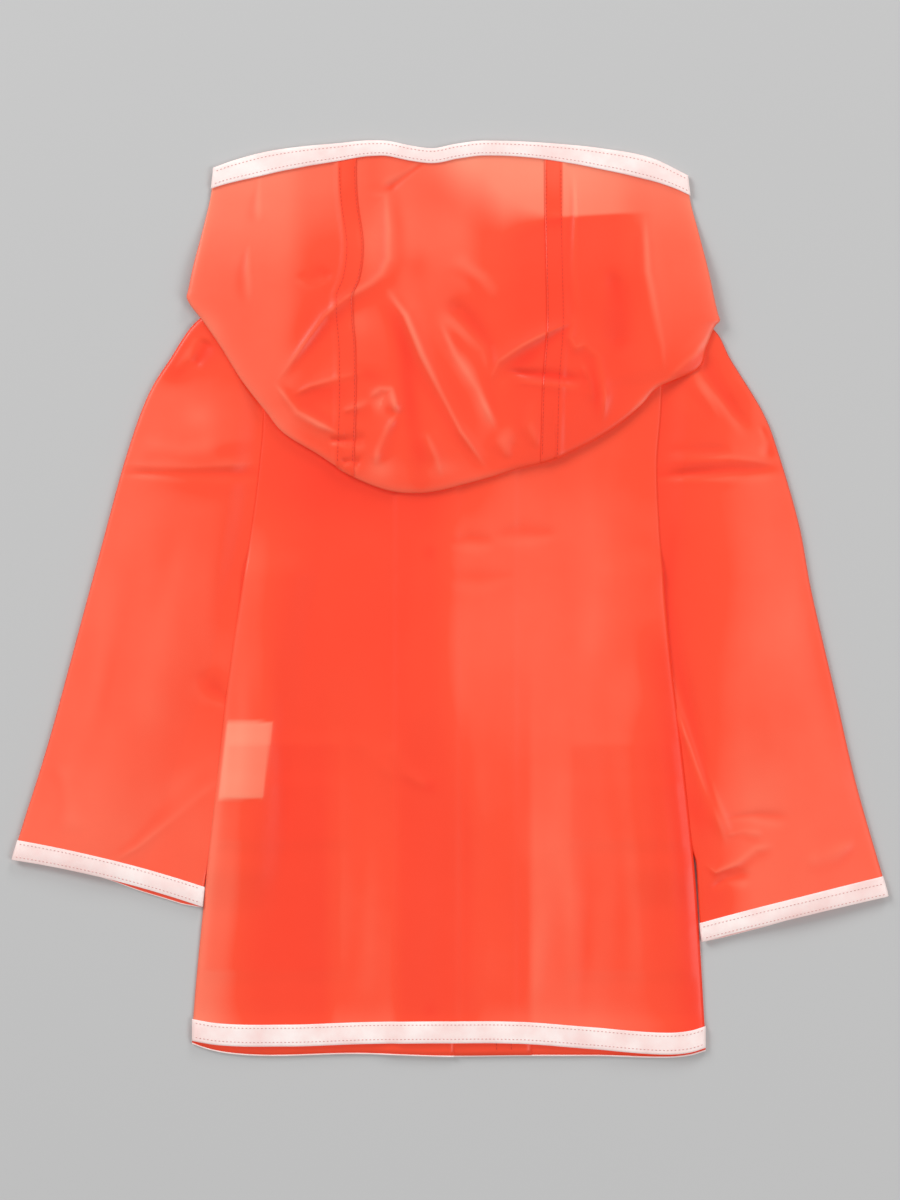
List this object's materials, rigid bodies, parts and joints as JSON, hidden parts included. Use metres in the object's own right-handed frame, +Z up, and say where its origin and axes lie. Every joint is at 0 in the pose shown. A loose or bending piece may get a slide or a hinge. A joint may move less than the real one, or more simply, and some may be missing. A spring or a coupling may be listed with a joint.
{
  "type": "kids rain jacket laid flat",
  "caption": "Translucent hooded rain jacket for a child, lying face down with its hood folded over the back, pale tape on hood edge, cuffs and hem.",
  "frame": {"origin": "on the surface, at the middle of the jacket's bounding box", "axes": "+Y from the hem towards the hood, +Z up from the surface, through the back"},
  "size_m": [0.6586, 0.6855, 0.0114],
  "materials": {
    "shell": "soft gloss, translucent",
    "tape": "matte",
    "snap": "gloss",
    "label": "matte"
  },
  "bodies": {
    "root": {"back_panel": "shell", "front_left": "shell", "front_right": "shell", "front_facing": "shell", "hem_tape_back": "tape", "hem_tape_front_left": "tape", "hem_tape_front_right": "tape", "pocket_left": "shell", "pocket_flap_left": "shell", "pocket_right": "shell", "pocket_flap_right": "shell", "care_label": "label", "snap_1": "snap", "snap_2": "snap", "snap_3": "snap", "snap_4": "snap", "sleeve_left": "shell", "cuff_tape_left": "tape", "sleeve_right": "shell", "cuff_tape_right": "tape", "hood_under": "shell", "hood_centre": "shell", "hood_side_left": "shell", "hood_side_right": "shell", "hood_tape": "tape"}
  },
  "joints": []
}
